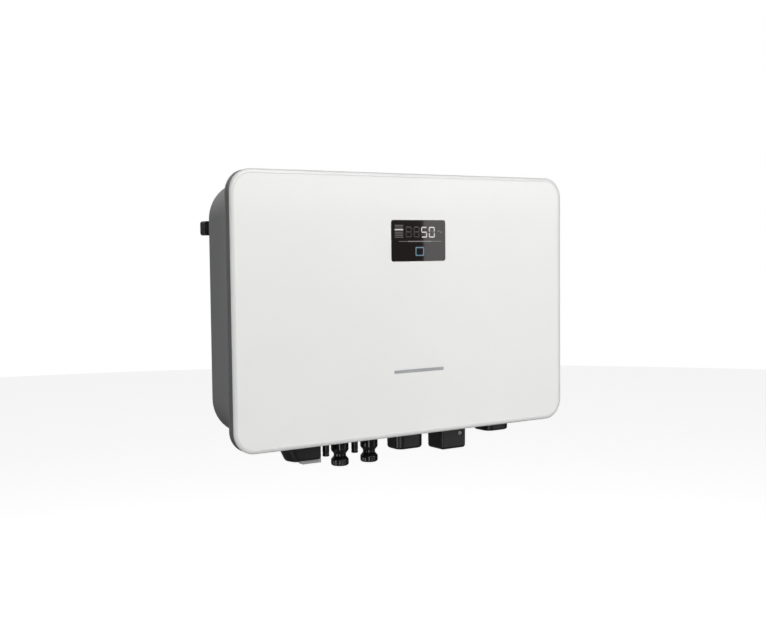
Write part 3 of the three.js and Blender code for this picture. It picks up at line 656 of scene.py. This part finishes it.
def digit_segment(code, left, bottom):
    """The outline of one of a digit's seven strokes, as (x, z) points."""
    right = left + DIGIT_WIDTH
    top = bottom + DIGIT_HEIGHT
    mid = (bottom + top) / 2
    half = DIGIT_STROKE / 2
    spans = {
        "a": ((left, top - half), (right, top - half)),
        "d": ((left, bottom + half), (right, bottom + half)),
        "g": ((left, mid), (right, mid)),
        "b": ((right - half, mid), (right - half, top)),
        "c": ((right - half, bottom), (right - half, mid)),
        "f": ((left + half, mid), (left + half, top)),
        "e": ((left + half, bottom), (left + half, mid)),
    }
    (x0, z0), (x1, z1) = spans[code]
    if z0 == z1:
        x0 += STROKE_GAP + half
        x1 -= STROKE_GAP + half
        return [
            (x0, z0 - half), (x1, z0 - half), (x1 + half, z0),
            (x1, z0 + half), (x0, z0 + half), (x0 - half, z0),
        ]
    z0 += STROKE_GAP
    z1 -= STROKE_GAP
    return [
        (x0, z0), (x0 + half, z0 + half), (x0 + half, z1 - half),
        (x0, z1), (x0 - half, z1 - half), (x0 - half, z0 + half),
    ]


def thin_marks(name, outlines, y, material):
    """Flat marks standing a hair in front of the window."""
    bm = bmesh.new()
    for outline in outlines:
        front = [Vector((x, y, z)) for x, z in outline]
        back = [Vector((x, y + MARK_THICK, z)) for x, z in outline]
        loft([back, front], bm)
    piece(name, bm, material, body=INVERTER, slot="smoked_glass")


def bar(x0, x1, z0, z1):
    """A rectangle's outline, as (x, z) points."""
    return [(x0, z0), (x1, z0), (x1, z1), (x0, z1)]


def make_display():
    low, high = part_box("display_window")
    mid, half_w, half_h = front_of(low, high)
    edge = 0.25 * MM
    rings = [ring(half_w, half_h, WINDOW_R, high.y, mid)]
    for a in quarter_turn(4):
        inset = edge * (1 - math.cos(a))
        y = low.y + edge * (1 - math.sin(a))
        rings.append(ring(half_w - inset, half_h - inset, WINDOW_R - inset, y, mid))
    piece("display_glass", loft(rings), SMOKED_GLASS, ("display_window",))

    face = low.y - 0.05 * MM
    left, top = low.x, high.z
    bottom = top - DIGIT_FOOT
    bright, ghost = [], []
    for start, digit in zip(DIGIT_STARTS, DIGITS_SHOWN):
        for code in SEGMENTS:
            shape = digit_segment(code, left + start, bottom)
            (bright if code in SEGMENTS_LIT[digit] else ghost).append(shape)
    thin_marks("digits_lit", bright, face, LIT_WHITE)
    thin_marks("digits_dim", ghost, face, DIM_MARK)

    # The column of level bars at the left. One is lit.
    bar_left, bar_right = left + LEVEL_LEFT, left + LEVEL_RIGHT
    dim = []
    for row in LEVEL_ROWS_MM:
        z = top - row * MM
        dim.append(bar(bar_left, bar_right, z, z + 0.7 * MM))
    thin_marks("level_bars_dim", dim, face, SOFT_MARK)
    z = top - LEVEL_LIT_ROW
    thin_marks("level_bar_lit", [bar(bar_left, bar_right, z, z + 1.3 * MM)], face, LIT_WHITE)

    # Two small unit marks at the right, and the rule under the digits.
    z = bottom + DIGIT_HEIGHT / 2 + 1.1 * MM
    unit = [
        bar(left + 58.0 * MM, left + 60.6 * MM, z - 0.5 * MM, z + 0.5 * MM),
        bar(left + 61.4 * MM, left + 64.0 * MM, z - 1.6 * MM, z - 0.6 * MM),
    ]
    thin_marks("unit_marks", unit, face, SOFT_MARK)
    z = top - RULE_DROP
    start, stop = left + 20.5 * MM, left + 50 * MM
    thin_marks("rule_middle", [bar(start, stop, z, z + RULE_THICK)], face, RULE_MARK)
    thin_low = z + RULE_ENDS_THINNER
    thin_high = z + RULE_THICK - RULE_ENDS_THINNER
    ends = [
        bar(left + 9 * MM, start - 0.1 * MM, thin_low, thin_high),
        bar(stop + 0.1 * MM, left + 63 * MM, thin_low, thin_high),
    ]
    thin_marks("rule_ends", ends, face, SOFT_MARK)

    # The touch button: a square outline.
    touch = middle("touch_sensor")
    half_w, half_h, wall = 5.4 * MM, 4.6 * MM, 1.1 * MM
    outer = ring(half_w, half_h, 1.3 * MM, face, (touch.x, touch.z), 6)
    inner = ring(half_w - wall, half_h - wall, 0.6 * MM, face, (touch.x, touch.z), 6)
    back = Vector((0, MARK_THICK, 0))
    rings = [outer, inner, [p + back for p in inner], [p + back for p in outer]]
    piece("touch_outline", loft(rings, closed=True), LIT_BLUE, body=INVERTER, slot="smoked_glass")


def make_badge():
    """A plain bar with a softened front edge."""
    low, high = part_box("badge_bar")
    mid, half_w, half_h = front_of(low, high)
    soft, radius = 0.15 * MM, 0.6 * MM
    rings = [
        ring(half_w, half_h, radius, high.y, mid, 4),
        ring(half_w, half_h, radius, low.y + soft, mid, 4),
        ring(half_w - soft, half_h - soft, 0.45 * MM, low.y, mid, 4),
    ]
    piece("badge_strip", loft(rings), BADGE_GREY, ("badge_bar",))


# ---------- rear housing and heat sink ----------

TUB_FRONT_Y = -139 * MM
TUB_FRONT_HALF_W = 203.6 * MM
TUB_FRONT_HALF_H = 131 * MM
TUB_BACK_HALF_W = 182.2 * MM
TUB_BACK_HALF_H = 128.8 * MM
TUB_BACK_R = 38 * MM
TUB_DROP = 1.3 * MM
TUB_EDGE = 5 * MM
TUB_WALL = 3 * MM
TUB_FLOOR = 4 * MM
FLARE_POWER = 1.6
FLANGE_BACK = -138 * MM
FLANGE_FRONT = -141.1 * MM
FLANGE_R = 22 * MM
COLLAR_INSET = 2.3 * MM
SEAT_FRONT = -142 * MM
SEAT_BACK = -136.2 * MM
INSIDE_FRONT = -136 * MM
SWEEP_STEPS = 22
INSIDE_STEPS = 8


def tub_ring(y, back, mid_z, inset=0.0, edge=True):
    """The housing's outline at depth y. It narrows from front to back in one hollow sweep."""
    t = max(0.0, (y - TUB_FRONT_Y) / (back - TUB_FRONT_Y))
    taper = 1 - (1 - t) ** FLARE_POWER
    half_w = TUB_FRONT_HALF_W + taper * (TUB_BACK_HALF_W - TUB_FRONT_HALF_W)
    half_h = TUB_FRONT_HALF_H + taper * (TUB_BACK_HALF_H - TUB_FRONT_HALF_H)
    if edge:
        into = max(0.0, y - (back - TUB_EDGE))
        inset += TUB_EDGE - math.sqrt(max(0.0, TUB_EDGE ** 2 - into ** 2))
    scale_w = (half_w - inset) / TUB_BACK_HALF_W
    scale_h = (half_h - inset) / TUB_BACK_HALF_H
    points = ring(TUB_BACK_HALF_W, TUB_BACK_HALF_H, TUB_BACK_R, y, (0, 0), 16)
    return [Vector((p.x * scale_w, y, p.z * scale_h + mid_z - taper * TUB_DROP)) for p in points]


def make_housing():
    """One lofted casting: back, sides, flange, collar with its lip, seat, and the hollow inside."""
    low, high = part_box("rear_housing")
    mid_z = middle("front_cover").z
    back = high.y
    lip = low.y
    _, half_w, half_h = front_of(low, high)

    def plain(inset, radius, y):
        return ring(half_w - inset, half_h - inset, radius, y, (0, mid_z), 16)

    def between(first, second, share):
        return [p.lerp(q, share) for p, q in zip(first, second)]

    rings = [tub_ring(back - TUB_EDGE * (1 - math.cos(a)), back, mid_z) for a in quarter_turn(6)]
    sweep_front = FLANGE_BACK + 0.9 * MM
    for i in range(1, SWEEP_STEPS + 1):
        y = back - TUB_EDGE + (sweep_front - back + TUB_EDGE) * i / SWEEP_STEPS
        rings.append(tub_ring(y, back, mid_z))
    flange_foot = tub_ring(FLANGE_BACK, back, mid_z)
    step = COLLAR_INSET
    rings += [
        between(rings[-1], plain(0.9 * MM, FLANGE_R, FLANGE_BACK), 0.12),
        between(flange_foot, plain(0.6 * MM, FLANGE_R, FLANGE_BACK), 0.5),
        plain(0.5 * MM, 21.5 * MM, FLANGE_BACK),
        plain(0.12 * MM, 21.9 * MM, FLANGE_BACK - 0.15 * MM),
        plain(0, FLANGE_R, FLANGE_BACK - 0.6 * MM),
        plain(0, FLANGE_R, FLANGE_FRONT + 0.4 * MM),
        plain(0.3 * MM, 21.7 * MM, FLANGE_FRONT),
        plain(step, 19.5 * MM, FLANGE_FRONT),
        plain(step, 19 * MM, lip + 0.3 * MM),
        plain(step + 0.3 * MM, 18.7 * MM, lip),
        plain(step + 3.2 * MM, 16.3 * MM, lip),
        plain(step + 3.5 * MM, 16 * MM, lip + 0.3 * MM),
        plain(step + 3.5 * MM, 16 * MM, SEAT_FRONT),
        plain(step + 7.2 * MM, 24 * MM, SEAT_FRONT),
        plain(step + 7.5 * MM, 24 * MM, -141.7 * MM),
        plain(step + 7.5 * MM, 24 * MM, SEAT_BACK),
    ]
    for i in range(INSIDE_STEPS + 1):
        y = INSIDE_FRONT + (back - TUB_FLOOR - INSIDE_FRONT) * i / INSIDE_STEPS
        rings.append(tub_ring(y, back, mid_z, TUB_WALL, edge=False))
    piece("housing_casting", loft(rings), CAST_GREY, ("rear_housing",))


SIDES = ("left", "right")
BASE_THICK = 4.7 * MM
FIN_PITCH = 10 * MM
FIN_ROOT = 1.3 * MM
FIN_TIP = 0.85 * MM
FIN_SHORT = 0.3 * MM
PAD_FOOT = -10 * MM


def make_heat_sink():
    """A base plate with tapered upright fins, and a solid pad behind each hook.

    The fins and pads end just short of the base's planes, so that no two faces share a plane.
    """
    low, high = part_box("heat_sink")
    base_back = low.y + BASE_THICK
    bm = slab((low.x, low.y, low.z), (high.x, base_back, high.z))
    ends = (low.z + FIN_SHORT, high.z - FIN_SHORT)
    half_section = [
        (FIN_ROOT + 0.8 * MM, base_back - 0.3 * MM),
        (FIN_ROOT, base_back + 0.9 * MM),
        (FIN_TIP, high.y - 0.5 * MM),
        (FIN_TIP * 0.5, high.y),
    ]
    for k in range(round((high.x - low.x) / FIN_PITCH)):
        x = low.x + FIN_PITCH * (k + 0.5)
        section = [(x - u, v) for u, v in half_section]
        section += [(x + u, v) for u, v in reversed(half_section)]
        loft([[Vector((u, v, z)) for u, v in section] for z in ends], bm)
    for side in SIDES:
        hook_low, hook_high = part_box(f"hanger_hook_{side}")
        pad_low = (hook_low.x, base_back - 0.2 * MM, PAD_FOOT)
        slab(pad_low, (hook_high.x, high.y - 0.02 * MM, high.z - 0.1 * MM), bm)
    piece("heat_sink_fins", bm, ALUMINIUM, ("heat_sink",), bevel=0.25 * MM, segments=2, angle=40)


# ---------- wall rail, hooks and screws ----------

def refined(node, name, material, bevel, segments=3):
    """A node's own solid with its edges broken and softened."""
    bm = bmesh.new()
    bm.from_mesh(frame["nodes"][node].data)
    bmesh.ops.remove_doubles(bm, verts=bm.verts, dist=1e-6)
    bmesh.ops.dissolve_limit(bm, angle_limit=math.radians(2), verts=bm.verts, edges=bm.edges)
    piece(name, bm, material, (node,), bevel=bevel, segments=segments)


def pan_head(name, node, axis_at, radius, start, stop, drive, material=STEEL):
    """A domed screw head along y, from start (under the head) to stop (its top).

    drive is the depth of its cross recess as a share of the head's height.
    """
    span = stop - start
    shank = radius * 0.45
    profile = [
        (shank, start - span * 3),
        (shank, start),
        (radius * 0.96, start),
        (radius, start + span * 0.15),
    ]
    for a in quarter_turn(6)[1:]:
        dome = radius * (0.35 + 0.65 * math.cos(a))
        profile.append((dome, start + span * (0.3 + 0.7 * math.sin(a))))
    profile[-1] = (radius * 0.3, profile[-1][1])
    bm = turned(profile, axis_at, "Y", 32)
    long, thin = radius * 0.62, radius * 0.14
    y_low, y_high = sorted((stop - span * drive, stop + span))
    x, _, z = axis_at
    cross = [
        slab((x - half_a, y_low, z - half_b), (x + half_a, y_high, z + half_b))
        for half_a, half_b in ((long, thin), (thin, long))
    ]
    piece(name, carve(bm, cross), material, (node,))


def make_wall_parts():
    refined("wall_rail", "wall_rail_channel", BLACK_STEEL, 0.35 * MM)
    for side in SIDES:
        refined(f"hanger_hook_{side}", f"hanger_bracket_{side}", STEEL, 0.5 * MM)
        refined(f"rail_end_cap_{side}", f"rail_cap_{side}", SATIN_BLACK, 0.6 * MM, 4)
        node = f"hook_screw_{side}"
        low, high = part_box(node)
        mid = middle(node)
        at = (mid.x, 0, mid.z)
        radius = (high.x - low.x) / 2
        pan_head(f"hook_bolt_{side}", node, at, radius, high.y - 2.8 * MM, high.y, 0.5)


# ---------- pieces under the housing ----------

UNDER_TOP = -213.4 * MM
BARREL_STEPS = 120
GRIP_GROOVES = 6
GRIP_TURN = math.radians(15)
GRIP_NARROWNESS = 12
GRIP_DEPTH = 0.5 * MM


def grip_wave(high, low=-math.inf, least=0.0):
    """Narrow grip grooves down a barrel between two heights, where its radius isn't below least."""
    def wave(radius, along, angle):
        if radius < least or not low <= along <= high:
            return radius
        groove = (0.5 + 0.5 * math.cos(GRIP_GROOVES * (angle - GRIP_TURN))) ** GRIP_NARROWNESS
        return radius - GRIP_DEPTH * groove
    return wave


def make_thick_port(number):
    node = f"thick_solar_port_{number}"
    low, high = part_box(node)
    at = middle(node)
    top = UNDER_TOP / MM
    profile_mm = [
        (6.3, high.z / MM), (6.5, high.z / MM - 0.3), (6.5, top), (8.1, top), (8.4, top - 0.3),
        (8.4, -217), (9.1, -217.4), (9.4, -218), (9.4, -221.5), (8.7, -222.2),
        (8.7, -223.4), (9.4, -224.1), (9.4, -229), (9.4, -234.4), (9.1, -235.6),
        (7.0, -238.2), (6.6, -238.8), (6.6, -241.3), (6.3, -241.6), (5.5, -241.6),
        (5.5, -248.6), (5.1, low.z / MM), (1.9, low.z / MM), (1.9, -241),
    ]
    profile = [(u * MM, v * MM) for u, v in profile_mm]
    wave = grip_wave(-224.5 * MM, -235 * MM)
    bm = turned(profile, (at.x, at.y, 0), "Z", BARREL_STEPS, wave)
    piece(f"solar_socket_{number}", bm, GLOSS_BLACK, (node,))


def make_dust_cap(number):
    node = f"dust_cap_{number}"
    low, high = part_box(node)
    at = middle(node)
    r = (high.x - low.x) / 2
    profile = [
        (5.8 * MM, -249.3 * MM), (5.8 * MM, high.z),
        (6.8 * MM, high.z), (7.1 * MM, high.z - 0.2 * MM),
        (r - 0.3 * MM, -244.5 * MM), (r, -245.3 * MM),
        (r, low.z + 1.6 * MM), (r - 0.4 * MM, low.z + 0.7 * MM),
        (r - 1.4 * MM, low.z), (r - 4 * MM, low.z),
        (r - 4.4 * MM, low.z + 0.5 * MM), (0.4 * MM, low.z + 0.5 * MM),
    ]
    wave = grip_wave(-245 * MM, least=r - 1.2 * MM)
    bm = turned(profile, (at.x, at.y, 0), "Z", BARREL_STEPS, wave)
    piece(f"socket_cap_{number}", bm, GLOSS_BLACK, (node,))


def make_slim_port(number):
    node = f"slim_solar_port_{number}"
    low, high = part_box(node)
    at = middle(node)
    top = UNDER_TOP
    profile = [
        (4.7 * MM, high.z), (5 * MM, high.z - 0.3 * MM),
        (5 * MM, top), (6.7 * MM, top), (7 * MM, top - 0.3 * MM),
        (7 * MM, -217.7 * MM), (6.7 * MM, -218 * MM), (5 * MM, -218 * MM),
        (5 * MM, -221.7 * MM), (4.7 * MM, -222.2 * MM), (3.6 * MM, -223.4 * MM),
        (3.6 * MM, -226 * MM), (3.25 * MM, -226.4 * MM), (3.25 * MM, -228 * MM),
        (3.6 * MM, -228.4 * MM), (3.6 * MM, -236.5 * MM), (3.3 * MM, -236.8 * MM),
        (3.3 * MM, -237.6 * MM), (3.6 * MM, -237.9 * MM), (3.6 * MM, low.z + 0.5 * MM),
        (3.1 * MM, low.z), (1.9 * MM, low.z), (1.9 * MM, -232 * MM),
    ]
    bm = turned(profile, (at.x, at.y, 0))
    piece(f"slim_socket_{number}", bm, SATIN_BLACK, (node,))


DRAFT = 0.3 * MM
LEAST_R = 0.4 * MM
NECK_R = 8 * MM
MOULDED_EDGE = {"bevel": 0.2 * MM, "segments": 2, "angle": 50}


def moulded(low, high, radius, bottom_round, top, steps):
    """A box with rounded upright corners, a rounded lower edge and sides that draw in downwards."""
    mid = ((low.x + high.x) / 2, (low.y + high.y) / 2)
    half_w = (high.x - low.x) / 2
    half_d = (high.y - low.y) / 2
    rings = [
        flat_ring(half_w - DRAFT, half_d - DRAFT, radius, top, mid, steps),
        flat_ring(half_w, half_d, radius, top - DRAFT, mid, steps),
    ]
    for a in quarter_turn(6):
        inset = DRAFT + bottom_round * (1 - math.cos(a))
        z = low.z + bottom_round * (1 - math.sin(a))
        corner = max(LEAST_R, radius - inset * 0.6)
        rings.append(flat_ring(half_w - inset, half_d - inset, corner, z, mid, steps))
    return loft(rings)


def add_neck(bm, node):
    """The round neck that stands a cover into the housing's floor."""
    at = middle(node)
    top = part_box(node)[1].z
    turned([(NECK_R, UNDER_TOP - 0.2 * MM), (NECK_R, top)], (at.x, at.y, 0), bm=bm)


def make_covers():
    """The round-cornered connector cover, the square one with its screw, and the flat cap."""
    node = "ac_connector_cover"
    low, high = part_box(node)
    bm = moulded(low, high, 8 * MM, 3 * MM, UNDER_TOP, 12)
    add_neck(bm, node)
    piece("ac_cover_shell", bm, BLACK_PLASTIC, (node,), **MOULDED_EDGE)

    node = "comms_cover"
    low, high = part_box(node)
    bm = moulded(low, high, 2.2 * MM, 3.2 * MM, UNDER_TOP, 6)
    add_neck(bm, node)
    s_low, s_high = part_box("comms_cover_screw")
    s_mid = middle("comms_cover_screw")
    screw_at = (s_mid.x, 0, s_mid.z)
    screw_r = (s_high.x - s_low.x) / 2
    seat_r = screw_r + 0.5 * MM
    seat = turned([(seat_r, low.y - CUT_CLEAR), (seat_r, s_high.y + GAP)], screw_at, "Y", 32)
    piece("comms_cover_shell", carve(bm, [seat]), BLACK_PLASTIC, (node,), **MOULDED_EDGE)
    head_foot = s_low.y + 2.4 * MM
    pan_head("comms_screw", "comms_cover_screw", screw_at, screw_r, head_foot, s_low.y, 0.3, ZINC)

    node = "accessory_port_cap"
    low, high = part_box(node)
    at = middle(node)
    bm = moulded(low, high, 9 * MM, 2.4 * MM, high.z, 12)
    bore_r = 9.3 * MM
    bore_ends = [(bore_r, low.z + 4.9 * MM), (bore_r, high.z + CUT_CLEAR)]
    bore = turned(bore_ends, (at.x, at.y, 0))
    piece("port_cap_shell", carve(bm, [bore]), BLACK_PLASTIC, (node,), **MOULDED_EDGE)


GUARD_HALF = 11 * MM
GUARD_LEFT = -114.2 * MM
GUARD_LEFT_AT = -229 * MM
GUARD_SLANT = 0.5
GUARD_RIGHT = -84 * MM
GUARD_CORNER = 3 * MM
GUARD_SOFT = 2.6 * MM
SWITCH_X = -106 * MM
SHAFT_BORE_R = 3.3 * MM
POCKET_R = 9.3 * MM
POCKET_DEPTH = 3.3 * MM


def guard_ring(z, inset, mid_y):
    """The guard's outline from above: round at its left end, which slants in as it goes down."""
    half = GUARD_HALF - inset
    left = GUARD_LEFT + GUARD_SLANT * (GUARD_LEFT_AT - z)
    right = GUARD_RIGHT - inset
    corner = max(LEAST_R, GUARD_CORNER - inset)
    points = []
    for cx, cy, r, start, sweep, steps in (
        (right - corner, mid_y + half - corner, corner, 0, 90, 8),
        (left, mid_y, half, 90, 180, 24),
        (right - corner, mid_y - half + corner, corner, 270, 90, 8),
    ):
        for i in range(steps + 1):
            a = math.radians(start + sweep * i / steps)
            points.append(Vector((cx + r * math.cos(a), cy + r * math.sin(a), z)))
    return points


def make_guard():
    """The switch guard, bored for the shaft, with a round pocket for the lever's foot."""
    low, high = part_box("switch_guard")
    mid_y = (low.y + high.y) / 2
    top = high.z
    rings = [guard_ring(top, 0.3 * MM, mid_y), guard_ring(top - 0.3 * MM, 0, mid_y)]
    for i in range(1, 5):
        rings.append(guard_ring(top - (top - low.z) * 0.18 * i, 0, mid_y))
    for a in quarter_turn(6):
        z = low.z + GUARD_SOFT * (1 - math.sin(a))
        rings.append(guard_ring(z, GUARD_SOFT * (1 - math.cos(a)), mid_y))
    axis = (SWITCH_X, mid_y, 0)
    below = low.z - CUT_CLEAR
    bore = turned([(SHAFT_BORE_R, below), (SHAFT_BORE_R, high.z + CUT_CLEAR)], axis, "Z", 32)
    pocket = turned([(POCKET_R, below), (POCKET_R, low.z + POCKET_DEPTH)], axis, "Z", 48)
    bm = carve(loft(rings), [bore, pocket])
    piece("switch_guard_shell", bm, BLACK_PLASTIC, ("switch_guard",), **MOULDED_EDGE)


def make_switch():
    make_guard()
    refined("switch_knob", "switch_lever", GREY_PLASTIC, 0.6 * MM)


# ---------- assembly ----------

make_camera()
make_world()
for box in SOFTBOXES:
    softbox(*box)
make_floor()
dress_cad_nodes()
make_cover()
make_cover_frame()
make_display()
make_badge()
make_housing()
make_heat_sink()
make_wall_parts()
for index in (1, 2):
    make_thick_port(index)
    make_slim_port(index)
    make_dust_cap(index)
make_covers()
make_switch()
